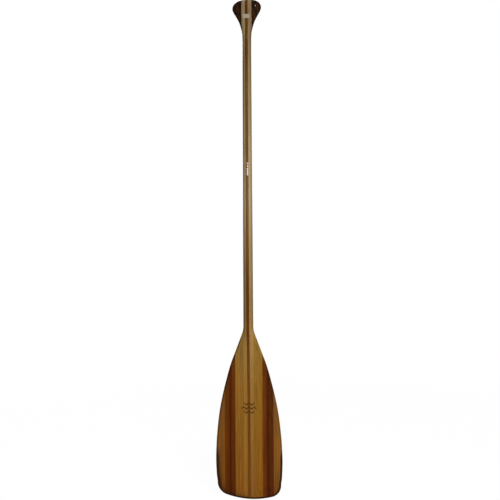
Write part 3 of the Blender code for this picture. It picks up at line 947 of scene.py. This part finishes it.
def shaft_marks():
    """Two small ovals above a bar with round ends, inside the CAD decal's outline."""
    low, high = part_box("shaft_decal")
    middle, half = (low.x + high.x) / 2, (high.x - low.x) / 2 - DECAL_MARGIN
    top, foot = high.z - TIP_Z - DECAL_MARGIN, low.z - TIP_Z + DECAL_FOOT
    slabs = [rounded_patch(middle, top - drop, half, tall * half, half)
             for drop, tall in DECAL_OVALS]
    bar_half = (top - DECAL_BAR_DROP - foot) / 2
    slabs.append(rounded_patch(middle, foot + bar_half, half, bar_half, half, BAR_COLUMNS))
    return mesh_of("shaft_decal_marks", slabs)


def blade_mark():
    """A generic mark of three wavy strokes, one above the other."""
    slabs = [wavy_stroke(MARK_HEIGHT + up, length) for up, length in MARK_STROKES]
    return mesh_of("blade_mark_burnt", slabs)


# The paddle

# Pieces that aren't quite the colour of their twin on the other side
TINTS = {
    "inner_red_strip_right": (1.18, 1.13, 1.06),
    "inner_red_strip_left": (1.01, 0.95, 1.08),
    "outer_red_strip_right": (0.72, 0.74, 1.05),
    "outer_red_strip_left": (0.92, 1.05, 0.92),
    "light_strip_right": (1.03, 1.03, 0.97),
    "light_strip_left": (0.97, 0.97, 1.07),
    "edge_strip_right": (1.02, 1.10, 1.15),
    "edge_strip_left": (0.99, 0.94, 0.98),
    "grip_block_right": (1.40, 1.80, 1.80),
    "grip_block_left": (0.98, 1.36, 1.60),
}

# The red strips' shade: paler at the pair's two edges and dark at the joint between them, from
# which it fades over one distance inwards and another outwards
RED_INNER_SHADE, RED_SHADE, RED_OUTER_SHADE = 1.12, 0.97, 1.10
RED_JOINT_SHADE = (0.50, 0.40, 0.28)
RED_FADE_IN, RED_FADE_OUT = 0.0066, 0.0054

# What sets each strip's grain apart: the core's seed, and the first of each side's
CORE_SEED = 1
FIRST_SEEDS = {"left": 10, "right": 30}


def strips_of(label):
    """One side's strips: name, grid, wood, slot, joints as distances out, and shade."""
    core_edge, stave_edge, inner_edge, red_joint, red_edge = JOINTS[label]
    grip_joint = GRIP_JOINTS[label]
    red_shade = [(inner_edge, RED_INNER_SHADE), (red_joint - RED_FADE_IN, RED_SHADE),
                 (red_joint, RED_JOINT_SHADE), (red_joint + RED_FADE_OUT, RED_SHADE),
                 (red_edge, RED_OUTER_SHADE)]
    return [
        ("shaft_stave", full_length_grid(core_edge, stave_edge, grip_joint, STAVE_COLUMNS),
         f"{label}_stave", "light_wood", [core_edge, stave_edge], None),
        ("light_strip", blade_strip_grid(stave_edge, inner_edge, LIGHT_COLUMNS),
         "light", "golden_wood", [stave_edge, inner_edge], None),
        ("inner_red_strip", blade_strip_grid(inner_edge, red_joint, RED_COLUMNS),
         f"{label}_red", "red_wood", [inner_edge, red_joint], red_shade),
        ("outer_red_strip", blade_strip_grid(red_joint, red_edge, RED_COLUMNS),
         f"{label}_red", "red_wood", [red_joint, red_edge], red_shade),
        ("edge_strip", edge_strip_grid(red_edge, EDGE_COLUMNS),
         "brown", "brown_wood", [red_edge], None),
        ("grip_block", grip_block_grid(grip_joint, BLOCK_COLUMNS),
         "walnut", "grip_wood", [grip_joint], None),
    ]


def build_paddle():
    """Every piece in place of its CAD node, and the blade's mark, which stands for none."""
    left, right = -JOINTS["left"][0], JOINTS["right"][0]
    core = carved("core_strip_wood", 1, full_length_grid(left, right, right, CORE_COLUMNS))
    core_wood = wood("core_wood", "core", CORE_SEED, [left, right])
    show("core_strip_wood", core, core_wood, "core_strip")
    edge = carved("resin_edge_cast", 1, resin_grid(RESIN_COLUMNS), RESIN_PROUD)
    show("resin_edge_cast", edge, resin("cast_resin"), "resin_edge")
    for label, side in SIDES.items():
        for i, (strip, grid, kind, slot, distances, shade) in enumerate(strips_of(label)):
            node = f"{strip}_{label}"
            name = f"{node}_wood"
            seed = FIRST_SEEDS[label] + i
            joints = [side * distance for distance in distances]
            material = wood(name, kind, seed, joints, shade, TINTS.get(node, WHITE), label)
            show(name, carved(name, side, grid), material, node)
    show("grip_label_sticker", grip_label(), sticker("label_film"),
         "grip_label")
    show("shaft_decal_marks", shaft_marks(), marking("decal_print"),
         "shaft_decal")
    show("blade_mark_burnt", blade_mark(), burnt("burnt_wood"))


# The stage: white to look at, but the paddle is lit by a grey room, brighter behind it, and
# mirrors a nearly black one

ROOM_LIGHT = (0.17, 0.17, 0.17)
ROOM_LIGHT_BEHIND = (0.50, 0.50, 0.50)
ROOM_REFLECTED = (0.03, 0.03, 0.03)

# The floor, and the share of glow in it, which grows between two distances from the tip
FLOOR_SIZE = 60.0
FLOOR_FADE = (1.4, 2.6)
FLOOR_GLOW = (0.97, 1.0)

# The lights: azimuth in degrees (0 is in front of the paddle and 90 on its right), distance from
# it, height above its tip, size, power in watts, and whether it is seen in reflections. The
# broad ones in front aren't, because they would lie on the varnish as grey smears
LIGHTS = {
    "key_light": (30.0, 2.90, 2.90, 0.80, 123.0, False),
    "spark_light": (13.0, 2.90, 2.50, 0.22, 3.4, True),
    "fill_light": (-55.0, 2.90, 2.70, 1.60, 8.0, False),
    "back_light": (215.0, 2.60, 2.90, 1.60, 38.0, True),
}


def studio_floor():
    """A pale floor under the tip, which fades to the background's white further out."""
    bpy.ops.mesh.primitive_plane_add(size=FLOOR_SIZE, location=(0.0, 0.0, TIP_Z))
    floor = bpy.context.object
    floor.name = "studio_floor"
    g = Graph("pale_floor")
    ray = g.node("ShaderNodeLightPath", {}).outputs
    colour = g.blend(ray["Is Glossy Ray"], ROOM_LIGHT, ROOM_REFLECTED)
    colour = g.blend(ray["Is Camera Ray"], colour, WHITE)
    paint = g.node("ShaderNodeBsdfDiffuse", {"Color": colour})
    glow = g.node("ShaderNodeEmission", {"Color": colour, "Strength": 1.0})
    share = g.remap(g.vector("LENGTH", g.place()), *FLOOR_FADE, *FLOOR_GLOW)
    mixed = g.node("ShaderNodeMixShader", {0: share, 1: paint.outputs[0], 2: glow.outputs[0]})
    g.put(g.tree.nodes["Material Output"].inputs["Surface"], mixed.outputs[0])
    floor.data.materials.append(g.material)


def studio_world():
    """White to the camera, a grey room to what it lights, and nearly black in reflections."""
    world = bpy.data.worlds.new("studio")
    world.use_nodes = True
    g = Graph(tree=world.node_tree)
    ray = g.node("ShaderNodeLightPath", {}).outputs
    towards = g.split(g.node("ShaderNodeTexCoord", {}).outputs["Generated"])
    colour = g.blend(g.remap(towards[1], 0.0, 1.0), ROOM_LIGHT, ROOM_LIGHT_BEHIND)
    colour = g.blend(ray["Is Glossy Ray"], colour, ROOM_REFLECTED)
    colour = g.blend(ray["Is Camera Ray"], colour, WHITE)
    g.put(g.tree.nodes["Background"].inputs["Color"], colour)
    bpy.context.scene.world = world


def studio_light(name, azimuth, distance, height, size, power, reflected):
    """A square light that faces the middle of the paddle."""
    data = bpy.data.lights.new(name, "AREA")
    data.shape, data.size, data.energy = "SQUARE", size, power
    light = bpy.data.objects.new(name, data)
    turn = math.radians(azimuth)
    light.location = (distance * math.sin(turn), -distance * math.cos(turn), TIP_Z + height)
    aim = Vector((0.0, 0.0, TIP_Z + PADDLE_LENGTH / 2)) - light.location
    light.rotation_euler = aim.to_track_quat("-Z", "Y").to_euler()
    light.visible_glossy = reflected
    bpy.context.scene.collection.objects.link(light)


# The camera's place round the paddle, its lean, and its lens and sensor in millimetres
CAMERA_AZIMUTH = math.radians(11.0)
CAMERA_DISTANCE = 2.10
CAMERA_HEIGHT = 0.760
CAMERA_ASIDE = 0.0064
CAMERA_LEAN = math.radians(-0.315)
LENS = 49.5
SENSOR = 36.0


def studio_camera():
    """Level with the paddle's middle, a little to the paddle's right, and leaning slightly."""
    back = Vector((math.sin(CAMERA_AZIMUTH), -math.cos(CAMERA_AZIMUTH), 0.0))
    right = Vector((math.cos(CAMERA_AZIMUTH), math.sin(CAMERA_AZIMUTH), 0.0))
    data = bpy.data.cameras.new("camera")
    data.sensor_width, data.lens = SENSOR, LENS
    camera = bpy.data.objects.new("camera", data)
    camera.location = CAMERA_DISTANCE * back + CAMERA_ASIDE * right
    camera.location.z = TIP_Z + CAMERA_HEIGHT
    camera.rotation_mode = "QUATERNION"
    lean = Quaternion((0.0, 0.0, 1.0), CAMERA_LEAN)
    camera.rotation_quaternion = (-back).to_track_quat("-Z", "Y") @ lean
    bpy.context.scene.collection.objects.link(camera)
    bpy.context.scene.camera = camera


studio_camera()
studio_world()
studio_floor()
for light_name, settings in LIGHTS.items():
    studio_light(light_name, *settings)
bpy.context.scene.view_settings.view_transform = "Standard"
build_paddle()
